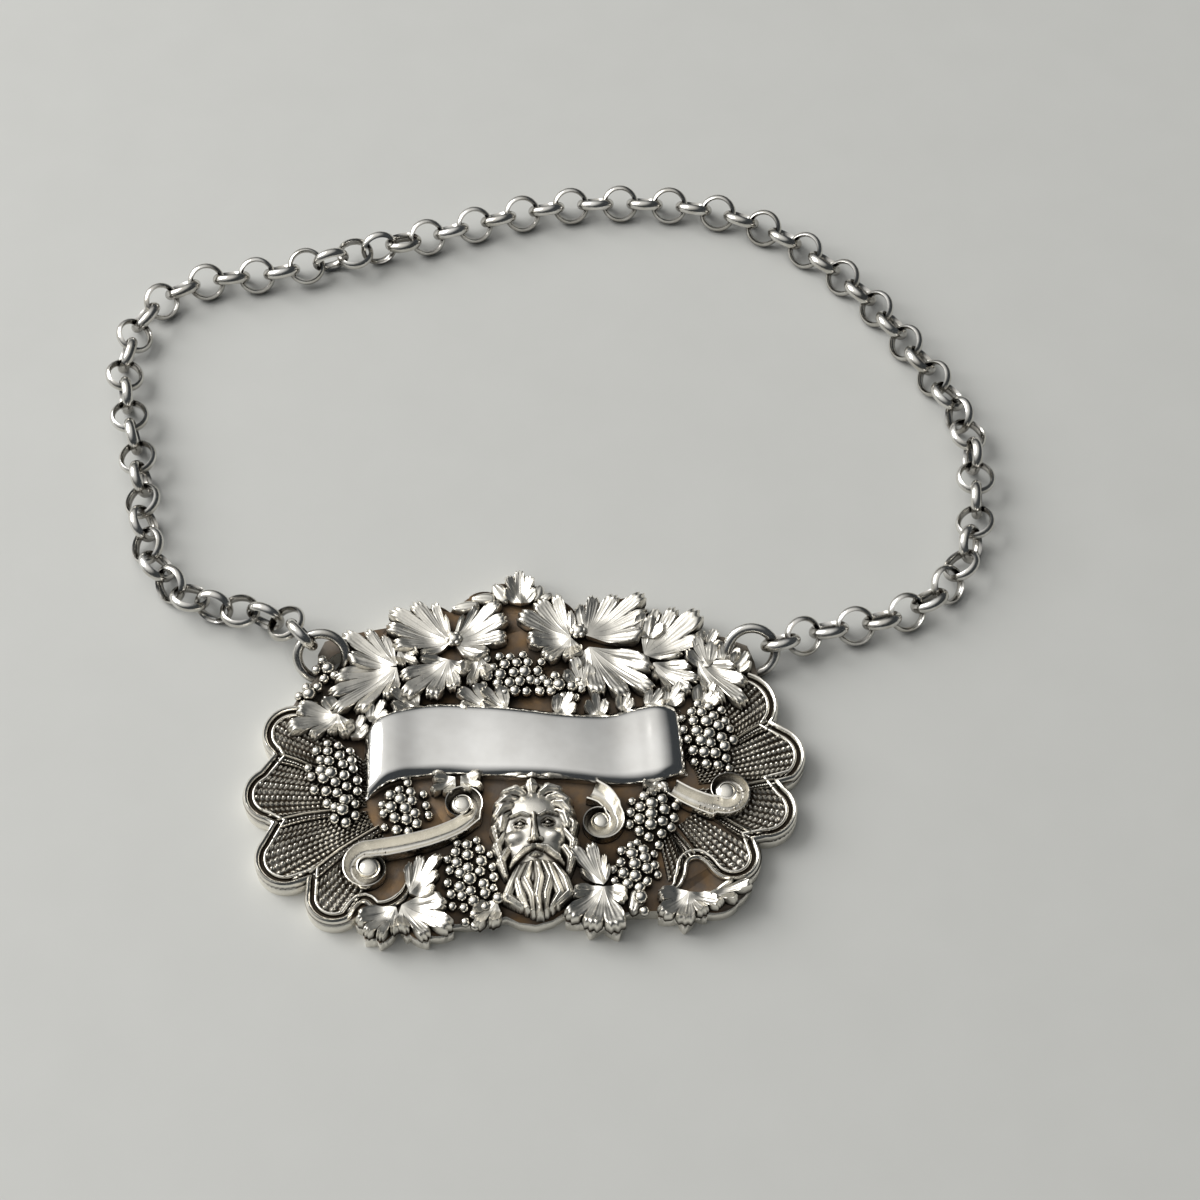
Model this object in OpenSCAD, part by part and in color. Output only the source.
// Cast silver wine label: relief plaque, soldered title banner, two jump rings and a belcher chain.
// Lies on its back: origin at the middle of the flat back, X across, Y towards the chain, Z out of the face.

/* [Plaque] */
// Width of the label over its shell wings
label_w = 61.5; // [52:0.5:74]
// Thickness of the casting at its ground
ground_t = 2.1; // [2:0.1:3]
// Height of the shells' rims above the ground
rim_h = 0.6; // [0.3:0.1:1]
// Width of the shells' rims
rim_w = 0.9; // [0.6:0.1:1.3]
// Diameter of the ribs that part the shells' flutes
rib_d = 0.9; // [0.6:0.1:1.2]
// Height of the vine leaves above the ground
leaf_h = 1.5; // [1:0.1:2.2]
// Diameter of a grape
grape_d = 1.25; // [0.9:0.05:1.5]
// Gap between neighbouring grapes
grape_gap = 0.08; // [0.04:0.02:0.2]
// Thickness of the bead that the scrolls are rolled from
scroll_d = 1.2; // [0.8:0.1:1.5]
// Height of the mask's face above the ground, without its nose
mask_h = 2.6; // [2:0.1:3.2]

/* [Title banner] */
// Thickness of the banner at its crown
banner_t = 2; // [1.4:0.1:2.6]
// How far the banner's ends roll down below its crown
banner_roll = 1.1; // [0.6:0.1:1.3]
// Gap between the banner's edge and the relief round it
banner_gap = 0.25; // [0.15:0.05:0.5]

/* [Jump rings] */
// Outside diameter of a jump ring
ring_od = 6.6; // [6:0.1:7.4]
// Diameter of the rings' round wire
ring_wire = 1.15; // [0.9:0.05:1.2]
// Thickness of the ears that the rings pass through
ear_t = 0.8; // [0.6:0.05:0.8]
// Room between a ring's wire and the edge of its hole
hole_clear = 0.25; // [0.2:0.05:0.35]
// How steeply the rings lean back at rest
ring_lean = 50; // [48:1:60]
// How far the rings swing up from rest
ring_swing = 60; // [20:5:60]

/* [Chain] */
// Inside diameter of a chain link
link_id = 3.4; // [3.2:0.02:3.7]
// Thickness of a link's half-round wire, across the ring
link_t = 0.62; // [0.5:0.02:0.7]
// Width of a link's half-round wire, along its axis
link_w = 1.3; // [1.1:0.05:1.4]
// Radius that crowns the inside of a link's wire
link_crown = 0.95; // [0.8:0.05:1.2]
// Slack between two links
link_play = 0.28; // [0.24:0.02:0.4]
// Pairs of links, counted from the two ends to the odd link at the top
link_pairs = 36; // [32:1:40]

/* [Hidden] */
$fn = 48;
// Plan sizes below are drawn on a label 61.5 wide and follow its width
plan = label_w / 61.5;
tiny = 0.01;

// Height that stands clear of all the relief
clear_h = 2 * (mask_h + leaf_h + banner_t);

// Jump rings: centre-line radius, room over the table, mid-height of the ears, and the holes' places
ring_r = (ring_od - ring_wire) / 2;
floor_clear = 0.06;
ear_z = ground_t - ear_t / 2;
hole_left = [-20.2, 12.6] * plan;
hole_right = [23.1, 10] * plan;
// A ring crosses its ear on a chord: the part under the ear must stay above the table
ring_drop = (ear_z - floor_clear - ring_wire / 2) / sin(ring_lean);
chord_rise = ring_r - ring_drop;
chord_half = sqrt(ring_r * ring_r - chord_rise * chord_rise);
// Where the wire leaves the underside of the ear it is less steep and off the hole's axis, which sets the hole's size
low_rise = chord_rise + ear_t / 2 / sin(ring_lean);
low_half = sqrt(ring_r * ring_r - low_rise * low_rise);
low_shift = norm([chord_half - low_half, ear_t / 2 / tan(ring_lean)]);
low_slope = low_half / ring_r * sin(ring_lean);
hole_d = 2 * (low_shift + ring_wire / 2 / low_slope + hole_clear);
// The rings swing about the line through both holes
swing_dir = (hole_right - hole_left) / norm(hole_right - hole_left);
swing_angle = atan2(swing_dir[1], swing_dir[0]);
lean_dir = [-swing_dir[1] * cos(ring_lean), swing_dir[0] * cos(ring_lean), sin(ring_lean)];
function flat(p, z) = [p[0], p[1], z];
function ring_centre(hole, side) =
    flat(hole, ear_z) + side * chord_half * flat(swing_dir, 0) + chord_rise * lean_dir;
// Where the first link hangs in each ring, as an angle round the ring from its outer side,
// and the way that link then leaves the ring
hang_left = 50;
hang_right = 15;
leave_left = [-0.48, 0.8, -0.36];
leave_right = [0.84, 0.42, -0.34];
hang_room = link_play / 2;
function hang_point(hole, side, angle, leave) =
    ring_centre(hole, side)
    + ring_r * (side * cos(angle) * flat(swing_dir, 0) + sin(angle) * lean_dir)
    - (ring_wire / 2 + hang_room) * leave / norm(leave);

// Chain: inside radius, spacing and count of the links
link_r = link_id / 2;
pitch = link_id - link_play;
link_count = 2 * link_pairs + 1;
hang_a = hang_point(hole_left, -1, hang_left, leave_left);
hang_b = hang_point(hole_right, 1, hang_right, leave_right);
// The chain's lie on the table, from the left ring round to the right ring
lie_points = [
    [-28.2, 19.6], [-31.5, 20.7], [-35.4, 21.7], [-39.6, 25], [-42.4, 31], [-43.1, 40], [-44.7, 49], [-45.4, 57],
    [-42.6, 65], [-36.5, 69], [-26, 70], [-12, 73.2], [3, 77], [13.5, 78], [26, 76.2], [35.5, 71.2], [44, 62],
    [50.2, 50.5], [54, 40.5], [54, 31], [52, 23], [47.4, 17], [41, 14.2], [34.5, 13.4]
];
lie_middle = [4, 44];
// Height of a link's middle where it lies on the table leaning over by half a right angle
lie_base = floor_clear + (link_r + norm([link_t, link_w / 2])) * sin(45);
function lie_route(s) = concat(
    [hang_a, hang_a + pitch * leave_left / norm(leave_left)],
    [for (p = lie_points) flat(lie_middle + (p - lie_middle) * s, lie_base)],
    [hang_b + pitch * leave_right / norm(leave_right), hang_b]
);
// A smooth curve through points, with its running length
route_steps = 10;
function spline(a, b, c, d, t) =
    0.5 * ((2 * b) + (c - a) * t + (2 * a - 5 * b + 4 * c - d) * t * t + (3 * b - a - 3 * c + d) * t * t * t);
function smooth(p, steps) = [
    for (i = [0 : len(p) - 2], j = [0 : steps - 1])
        spline(p[max(i - 1, 0)], p[i], p[i + 1], p[min(i + 2, len(p) - 1)], j / steps),
    p[len(p) - 1]
];
function lengths(p) = [
    for (i = 0, s = 0; i < len(p); i = i + 1, s = s + (i < len(p) ? norm(p[i] - p[i - 1]) : 0)) s
];
function route_length(s) = let (l = lengths(smooth(lie_route(s), route_steps))) l[len(l) - 1];
// The lie is widened or drawn in until the links just fill it
fit_passes = 5;
function fitted(s, passes) =
    passes == 0 ? s : fitted(s * link_count * pitch / route_length(s), passes - 1);
route = smooth(lie_route(fitted(1, fit_passes)), route_steps);
route_s = lengths(route);
route_x = [for (i = [0 : len(route) - 1]) [route_s[i], route[i][0]]];
route_y = [for (i = [0 : len(route) - 1]) [route_s[i], route[i][1]]];
route_z = [for (i = [0 : len(route) - 1]) [route_s[i], max(route[i][2], lie_base)]];
// Links lean left and right by turns, and the chain is twisted a little along the way
lean_twist = [[1, 65], [8, 0], [21, -90], [26, -90], [32, 0], [56, 0], [66, -90], [73, -95]];
function link_roll(n) = 45 + 90 * (n - 1) + lookup(n, lean_twist);
function rest_height(n) =
    let (s = abs(sin(link_roll(n))), c = abs(cos(link_roll(n))))
    link_r * s + norm([link_t * s, link_w / 2 * c]);
function lie_height(n) =
    floor_clear + max(rest_height(n), (rest_height(n - 1) + rest_height(n + 1)) / 2);
// The points where link n and link n + 1 hook into each other
function contact(n) = [
    lookup(n * pitch, route_x),
    lookup(n * pitch, route_y),
    lookup(n * pitch, route_z) + (lie_height(n) + lie_height(n + 1)) / 2 - lie_base
];
contacts = [for (n = [0 : link_count]) n == 0 ? hang_a : n == link_count ? hang_b : contact(n)];
function pair_name(i) = str("chain_links_", i < 10 ? "0" : "", i);

// Silver colours
polished = "Gainsboro";
cast = "Silver";

// A lens with two points, one at the origin and one at length l along X
module lens(l, w) {
    r = (l * l + w * w) / (4 * w);
    intersection() {
        translate([l / 2, r - w / 2]) circle(r, $fn = 96);
        translate([l / 2, w / 2 - r]) circle(r, $fn = 96);
    }
}

// A leaf's outline: a lobe out to each tip and a round middle, with a margin all round
lobe_share = 0.5;
lobe_tail = 0.6;
leaf_middle = 1.1;
module leaf_outline(leaf, margin) {
    translate(leaf[0]) circle(leaf_middle + margin);
    for (i = [1 : len(leaf) - 1]) {
        v = leaf[i] - leaf[0];
        l = norm(v) + lobe_tail + margin;
        translate(leaf[0]) rotate(atan2(v[1], v[0])) translate([-lobe_tail, 0]) lens(l, lobe_share * l + margin);
    }
}
// A leaf: its outline domed from the middle down to the tips, with a groove for each vein
leaf_sink = 1;
tip_share = 0.35;
vein_d = 0.5;
module leaf_relief(leaf, crown) {
    reach = max([for (i = [1 : len(leaf) - 1]) norm(leaf[i] - leaf[0])]);
    fall = crown * (1 - tip_share);
    dome = (reach * reach + fall * fall) / (2 * fall);
    difference() {
        intersection() {
            translate([0, 0, ground_t - leaf_sink]) linear_extrude(leaf_sink + 2 * crown) leaf_outline(leaf, 0);
            translate(flat(leaf[0], ground_t + crown - dome)) rotate([0, 0, 20]) sphere(dome, $fn = 96);
        }
        for (i = [1 : len(leaf) - 1]) vein(leaf[0], leaf[i], ground_t + crown, dome);
    }
}
module vein(base, tip, top, dome) {
    v = tip - base;
    l = norm(v);
    start = 0.3 * l;
    end = 0.85 * l;
    drop_start = dome - sqrt(dome * dome - start * start);
    drop_end = dome - sqrt(dome * dome - end * end);
    translate(flat(base, top)) rotate(atan2(v[1], v[0])) translate([start, 0, -drop_start])
        rotate([0, 90 + atan2(drop_end - drop_start, end - start), 0]) cylinder(h = end - start, d = vein_d);
}

// Vine leaves: the point where each leaf's veins meet, then the tips of its lobes
leaves = [
    [[-7.7, 14.2], [-3.9, 12.2], [-1.6, 14.6], [-1.5, 17], [-2.3, 19.3], [-4.8, 18.9]],
    [[-8, 14.2], [-9.5, 19.7], [-12.1, 19.7], [-14.8, 18.9], [-15.2, 16.9], [-14.6, 14.1]],
    [[-8.4, 12], [-13.9, 10.2], [-13.7, 7.6], [-10.6, 7.2], [-7.8, 8], [-6.3, 10]],
    [[-15, 12.4], [-15.6, 15.8], [-17.3, 16.5], [-20.2, 16.2], [-19.8, 13.4]],
    [[-15, 10.6], [-21.3, 10.6], [-21.9, 8.2], [-21.6, 6], [-18.9, 6], [-15.4, 7.3]],
    [[-21, 5.8], [-22.4, 8], [-25.4, 7.1], [-26.2, 4.3], [-23.9, 3.2], [-19.8, 3]],
    [[5.4, 13.9], [5.7, 17.4], [4.2, 19.6], [2, 19.2], [-0.3, 17.4], [0.5, 14], [2.3, 11.3]],
    [[7.2, 13.9], [13.9, 13.8], [14.6, 16.4], [14.2, 18.8], [11.1, 19], [8.3, 19.1]],
    [[8, 11.6], [6, 9.4], [8, 6.4], [11.1, 6], [14.2, 6.2], [14.4, 9]],
    [[14.4, 11.6], [20.5, 12], [20.2, 16.2], [17.5, 16.9], [15, 16.2]],
    [[15.2, 9.2], [15.9, 6], [18.3, 5.8], [19.4, 7.2]],
    [[20, 8.8], [20, 5.5], [21.6, 3.9], [24.1, 3.6], [24.7, 6.5]],
    [[-13.2, -16], [-10.6, -14.1], [-10.2, -12.3], [-12.4, -12]],
    [[-14, -18.2], [-14.3, -20.8], [-12.1, -21.6], [-9.4, -20.7], [-9.8, -17.7]],
    [[-15.8, -18.4], [-19.5, -19.1], [-18.6, -20.8], [-17.1, -21.4]],
    [[6.4, -15.8], [7.2, -13.4], [6, -11.9], [3.6, -12.6]],
    [[6.6, -18], [3.3, -17.9], [2.6, -20.4], [5, -21.8], [8, -22.2], [9.2, -18.8]],
    [[15.8, -18.6], [12.4, -18.6], [12.4, -20.6], [15, -21.9], [17.4, -20.9], [20.8, -19.7], [22.6, -17.6]]
] * plan;
// The bud and its sprigs at the top
bud_h = 0.7 * leaf_h;
bud = [
    [[0, 19.8], [0, 23.4], [-2.6, 22], [2.7, 21.2]],
    [[-2.4, 19.8], [-6.8, 19.3], [-5.6, 20.6]]
] * plan;

// Shell wings: the lobes of both shells, as centre and radius, and the points that their flutes run to
shell_left = [[[-25.85, 4.25], 3.45], [[-28.05, -3.15], 3.4], [[-26.75, -10.9], 3.45], [[-21.7, -15.85], 3.2]];
shell_right = [[[23.35, 4.05], 4.45], [[26.15, -2.45], 3.9], [[24.9, -9], 3.55], [[20.8, -14.2], 3.2]];
eye_left = [-12.5, -5] * plan;
eye_right = [12.5, -5.4] * plan;
// Notches between the lobes, where the ribs start
notches_left = [[-27.8, 1.7], [-28.3, -6.8], [-24.6, -13.9]] * plan;
notches_right = [[26.8, 1.8], [27, -5.8], [23.65, -12.6]] * plan;
module shell_lobes(shell, inset) {
    for (s = shell) translate(s[0] * plan) circle(s[1] * plan - inset);
}
// The middle of the plaque, inside its leafy edge
core = [
    [0, 22], [2.6, 20], [6.4, 17], [13, 17.4], [15, 15.2], [19.6, 15], [20.6, 13.4], [22.6, 13.2],
    [25.2, 11.8], [25.8, 9.6], [26.2, 6], [26.8, 1.8], [26.2, -2.4], [27, -5.8], [24.9, -9], [23.65, -12.6],
    [20.8, -14.2], [20, -17.6], [15.4, -20.2], [9.8, -19.8], [5, -20.4], [2.5, -19.4], [1.2, -20.2],
    [-0.6, -20.6], [-2.4, -20.2], [-3.7, -19.4], [-7, -20], [-14, -19.6], [-18.8, -18], [-21.7, -15.8],
    [-24.6, -13.9], [-26.8, -10.9], [-28.3, -6.8], [-28, -3.2],
    [-27.8, 1.7], [-25.8, 4.3], [-26.3, 7], [-25, 9.4], [-23.2, 11.2], [-23, 14.2], [-22.2, 15.9], [-20, 16.6],
    [-15.2, 17.2], [-13.6, 17.6], [-8.4, 18.6], [-3, 20.6]
] * plan;
leaf_margin = 0.1;
module outline() {
    shell_lobes(shell_left, 0);
    shell_lobes(shell_right, 0);
    polygon(core);
    for (leaf = concat(leaves, bud)) leaf_outline(leaf, leaf_margin);
}

// The side where the rims stay open towards the middle, and how far the ribs run in from the notches
rims_open = [
    [-24.4, 8.6], [-27.6, 1.8], [-28, -6.7], [-24.3, -13.6], [-18.6, -18.2], [0, -24],
    [17.6, -15.9], [23.3, -12.3], [26.7, -5.9], [26.5, 1.7], [24.6, 9.2], [0, 12]
] * plan;
rib_reach = 0.5;
module shell_wing(shell, notches, eye) {
    translate([0, 0, ground_t - tiny]) linear_extrude(rim_h + tiny) difference() {
        shell_lobes(shell, 0);
        shell_lobes(shell, rim_w);
        polygon(rims_open);
    }
    for (p = notches) rib(p, eye);
}
module rib(from, to) {
    v = (to - from) * rib_reach;
    translate([from[0], from[1], ground_t]) rotate([0, 90, atan2(v[1], v[0])])
        cylinder(h = norm(v), d1 = rib_d, d2 = rib_d / 2);
}

// Bunches of grapes: middle, half-length, half-width and turn of each
bunches = [
    [[-1.8, 10], 3.2, 1.9, 10], [[3.6, 8.6], 2.1, 1.4, -15], [[-23.6, 9], 1.3, 1.2, 40], [[-21, -1.6], 3.2, 2.2, 80],
    [[-20.4, -6.6], 1.7, 1.3, 90], [[-13.6, -6.9], 2.7, 2.3, 90], [[-7.7, -14.7], 4.2, 2.5, 95],
    [[12.2, -8.7], 2.7, 2.4, 70], [[11, -14.8], 3.3, 1.9, 95], [[10.9, -19], 1.2, 1.2, 0],
    [[19.8, 0.6], 2.6, 1.9, 100]
];
// How far a bunch swells up at its middle, in grapes
bunch_swell = 0.35;
module bunch(b) {
    step = grape_d + grape_gap;
    a = b[1] * plan;
    w = b[2] * plan;
    rows = ceil(w / step);
    cols = ceil(a / step);
    translate(flat(b[0] * plan, ground_t)) rotate(b[3])
        for (j = [-rows : rows], i = [-cols - 1 : cols]) {
            x = (i + abs(j % 2) / 2) * step;
            y = j * step * sqrt(3) / 2;
            q = pow(x / a, 2) + pow(y / w, 2);
            if (q < 1) translate([x, y, bunch_swell * grape_d * (1 - q)]) sphere(d = grape_d);
        }
}

// A scroll's end: a bead rolled round in shrinking half turns to a button
module volute(centre, r, start, turn) {
    translate(flat(centre * plan, ground_t)) rotate(start) {
        half_turn(0, r * plan, 0, turn);
        half_turn(0.22 * r * plan, 0.78 * r * plan, 180, turn);
        sphere(d = scroll_d * 1.2);
    }
}
module half_turn(shift, r, from, turn) {
    translate([shift, 0, 0]) rotate(from) mirror([0, turn < 0 ? 1 : 0])
        rotate_extrude(angle = 180) translate([r, 0]) circle(d = scroll_d);
}
// A scroll's stem: a bead that thickens along its length
module stem(from, to, d1, d2) {
    v = (to - from) * plan;
    translate(flat(from * plan, ground_t)) rotate([0, 90, atan2(v[1], v[0])]) cylinder(h = norm(v), d1 = d1, d2 = d2);
}
module scrolls() {
    volute([-7.9, -6.7], 1.7, 0, 1);
    stem([-6.3, -7.2], [-9.6, -9.7], scroll_d, 1.6);
    stem([-9.4, -9.6], [-15.2, -11.6], 1.6, 1.4);
    volute([-17.6, -13.1], 2, 20, 1);
    volute([7.2, -9.2], 1.5, 0, -1);
    stem([8.7, -9], [5.6, -6.4], scroll_d, 0.7);
    volute([20.6, -6.6], 1.9, 0, 1);
    stem([20.8, -8.5], [15.4, -5.9], scroll_d, 0.7);
}

// A bearded mask of plain round forms, laid out on half the head's width
mask_at = [-0.6, -11.4] * plan;
mask_u = 4.2 * plan;
module mask() {
    translate(flat(mask_at, ground_t)) {
        difference() {
            union() {
                cap([0, 0.35], 1, mask_h);
                cap([0, -0.75], 0.72, mask_h * 0.9);
                cap([0, -1.45], 0.62, mask_h * 0.75);
            }
            for (x = [-0.38, 0.38]) mask_ball([x, 0.3, 1.13], 1.5);
        }
        for (side = [-1, 1]) {
            mask_ball([side * 0.38, 0.3, 0.82], 0.9);
            mask_bar([side * 0.12, 0.53, 0.9], [side * 0.62, 0.44, 0.72], 0.7, 0.5);
            mask_ball([side * 0.13, -0.13, 0.95], 0.8);
            mask_bar([side * 0.06, -0.33, 0.97], [side * 0.6, -0.62, 0.66], 1.1, 0.5);
            for (i = [0 : 3]) mask_ball([side * (0.95 - 0.06 * i), 0.1 - 0.28 * i, 0.1], 1);
        }
        mask_bar([0, 0.5, 0.92], [0, -0.06, 1.07], 0.6, 1.05);
        mask_ball([0, -0.08, 1.06], 1.25);
        mask_bar([-0.2, -0.55, 0.86], [0.2, -0.55, 0.86], 0.6, 0.6);
        for (i = [-3 : 3])
            mask_bar([i * 0.14, -0.85, 0.82 - 0.05 * abs(i)], [i * 0.2, -2.05 + 0.1 * abs(i), 0.3], 1.1, 0.6);
        for (a = [30 : 24 : 150]) mask_ball([0.94 * cos(a), 0.35 + 0.92 * sin(a), 0.2], 1.4);
    }
}
// A round cap of a given reach on the ground and height over it
module cap(at, reach, h) {
    a = reach * mask_u;
    r = (a * a + h * h) / (2 * h);
    translate(flat(at * mask_u, h - r)) sphere(r, $fn = 96);
}
function mask_place(at) = [at[0] * mask_u, at[1] * mask_u, at[2] * mask_h];
module mask_ball(at, d) {
    translate(mask_place(at)) sphere(d = d * plan);
}
module mask_bar(from, to, d1, d2) {
    v = mask_place(to) - mask_place(from);
    translate(mask_place(from)) rotate([0, acos(v[2] / norm(v)), atan2(v[1], v[0])])
        cylinder(h = norm(v), d1 = d1 * plan, d2 = d2 * plan);
}

// The banner's edges, waved, from left to right, and the roll of its face
banner_top = [
    [-18.2, 3.2], [-16.6, 5.3], [-12.5, 6.4], [-8.5, 6.5], [-3.6, 5.4], [3.2, 3.9], [8.5, 3.9], [12.7, 4.7], [17, 4.3]
] * plan;
banner_bottom = [
    [-18.2, -4.7], [-14.4, -2.8], [-9.7, -2.5], [-4.1, -3.5], [1.1, -3.8], [5.9, -4.4], [10.3, -5], [17, -4.4]
] * plan;
// Places along the banner, and how much of the roll is left there
banner_face = [
    [-18.2, 1], [-17.4, 0.45], [-15.6, 0], [-10.5, 0.25], [-4, 0], [4, 0.05], [9.5, 0.25], [14.2, 0],
    [16.2, 0.3], [17, 0.8]
];
banner_steps = 5;
function shifted(p, d) = [for (q = p) q + d];
function reversed(p) = [for (i = [len(p) - 1 : -1 : 0]) p[i]];
module banner_outline(gap) {
    polygon(concat(
        shifted(smooth(banner_top, banner_steps), [0, gap]),
        reversed(shifted(smooth(banner_bottom, banner_steps), [0, -gap]))
    ));
}
// Relief is cut away where the banner lies
module banner_seat() {
    translate([0, 0, ground_t]) linear_extrude(clear_h) banner_outline(banner_gap);
}

// Under each ear the back is cut away for the ring's wire, and a hole is drilled through the ear
module ring_pocket(hole, side) {
    reach_back = ring_drop * cos(ring_lean) + ring_wire / 2 + hole_clear;
    reach_up = -ring_drop * cos(ring_lean + ring_swing) + ring_wire / 2 + hole_clear;
    translate(flat(hole, -tiny)) rotate(swing_angle) mirror([side < 0 ? 1 : 0, 0]) {
        translate([-hole_d / 2, -reach_back, 0]) cube([2 * ring_od, reach_back + reach_up, ground_t - ear_t + tiny]);
        cylinder(h = clear_h, d = hole_d);
    }
}

// Everything behind the back is cut away
module flat_back() {
    translate([-label_w, -label_w, -label_w]) cube([2 * label_w, 2 * label_w, label_w]);
}

module plaque() {
    color(cast) difference() {
        union() {
            linear_extrude(ground_t) outline();
            shell_wing(shell_left, notches_left, eye_left);
            shell_wing(shell_right, notches_right, eye_right);
            for (leaf = leaves) leaf_relief(leaf, leaf_h);
            for (leaf = bud) leaf_relief(leaf, bud_h);
            for (b = bunches) bunch(b);
            scrolls();
            mask();
        }
        flat_back();
        banner_seat();
        ring_pocket(hole_left, -1);
        ring_pocket(hole_right, 1);
    }
}

// The banner stands on the ground, its face rolled down at the ends
module title_banner() {
    face = [for (p = banner_face) [p[0] * plan, banner_t - banner_roll * p[1]]];
    ends = [face[0][0], face[len(face) - 1][0]];
    deep = 20 * plan;
    color(polished) translate([0, 0, ground_t]) intersection() {
        linear_extrude(clear_h) banner_outline(0);
        translate([0, deep / 2, 0]) rotate([90, 0, 0]) linear_extrude(deep)
            polygon(concat([[ends[0], 0]], smooth(face, banner_steps), [[ends[1], 0]]));
    }
}

// A ring of round wire, laid through its ear
module jump_ring(hole, side) {
    color(polished) translate(ring_centre(hole, side)) rotate([0, 0, swing_angle]) rotate([ring_lean, 0, 0])
        rotate_extrude() translate([ring_r, 0]) circle(d = ring_wire);
}

// A belcher link: half-round wire, only gently crowned on the inside
module link_section() {
    intersection() {
        translate([link_r + link_t - link_w / 2, 0]) circle(d = link_w);
        translate([link_r + link_crown, 0]) circle(link_crown);
    }
}
module link(n) {
    a = contacts[n - 1];
    b = contacts[n];
    v = b - a;
    translate((a + b) / 2)
        rotate([0, -asin(v[2] / norm(v)), atan2(v[1], v[0])])
        rotate([-link_roll(n), 0, 0])
        rotate_extrude() link_section();
}
module chain_links(i) {
    color(polished) {
        link(i);
        link(link_count + 1 - i);
    }
}
module chain_link_top() {
    color(polished) link(link_pairs + 1);
}

plaque();
title_banner();
jump_ring(hole_left, -1);  // jump_ring_left
jump_ring(hole_right, 1);  // jump_ring_right
for (i = [1 : link_pairs]) {
    chain_links(i);
}
chain_link_top();
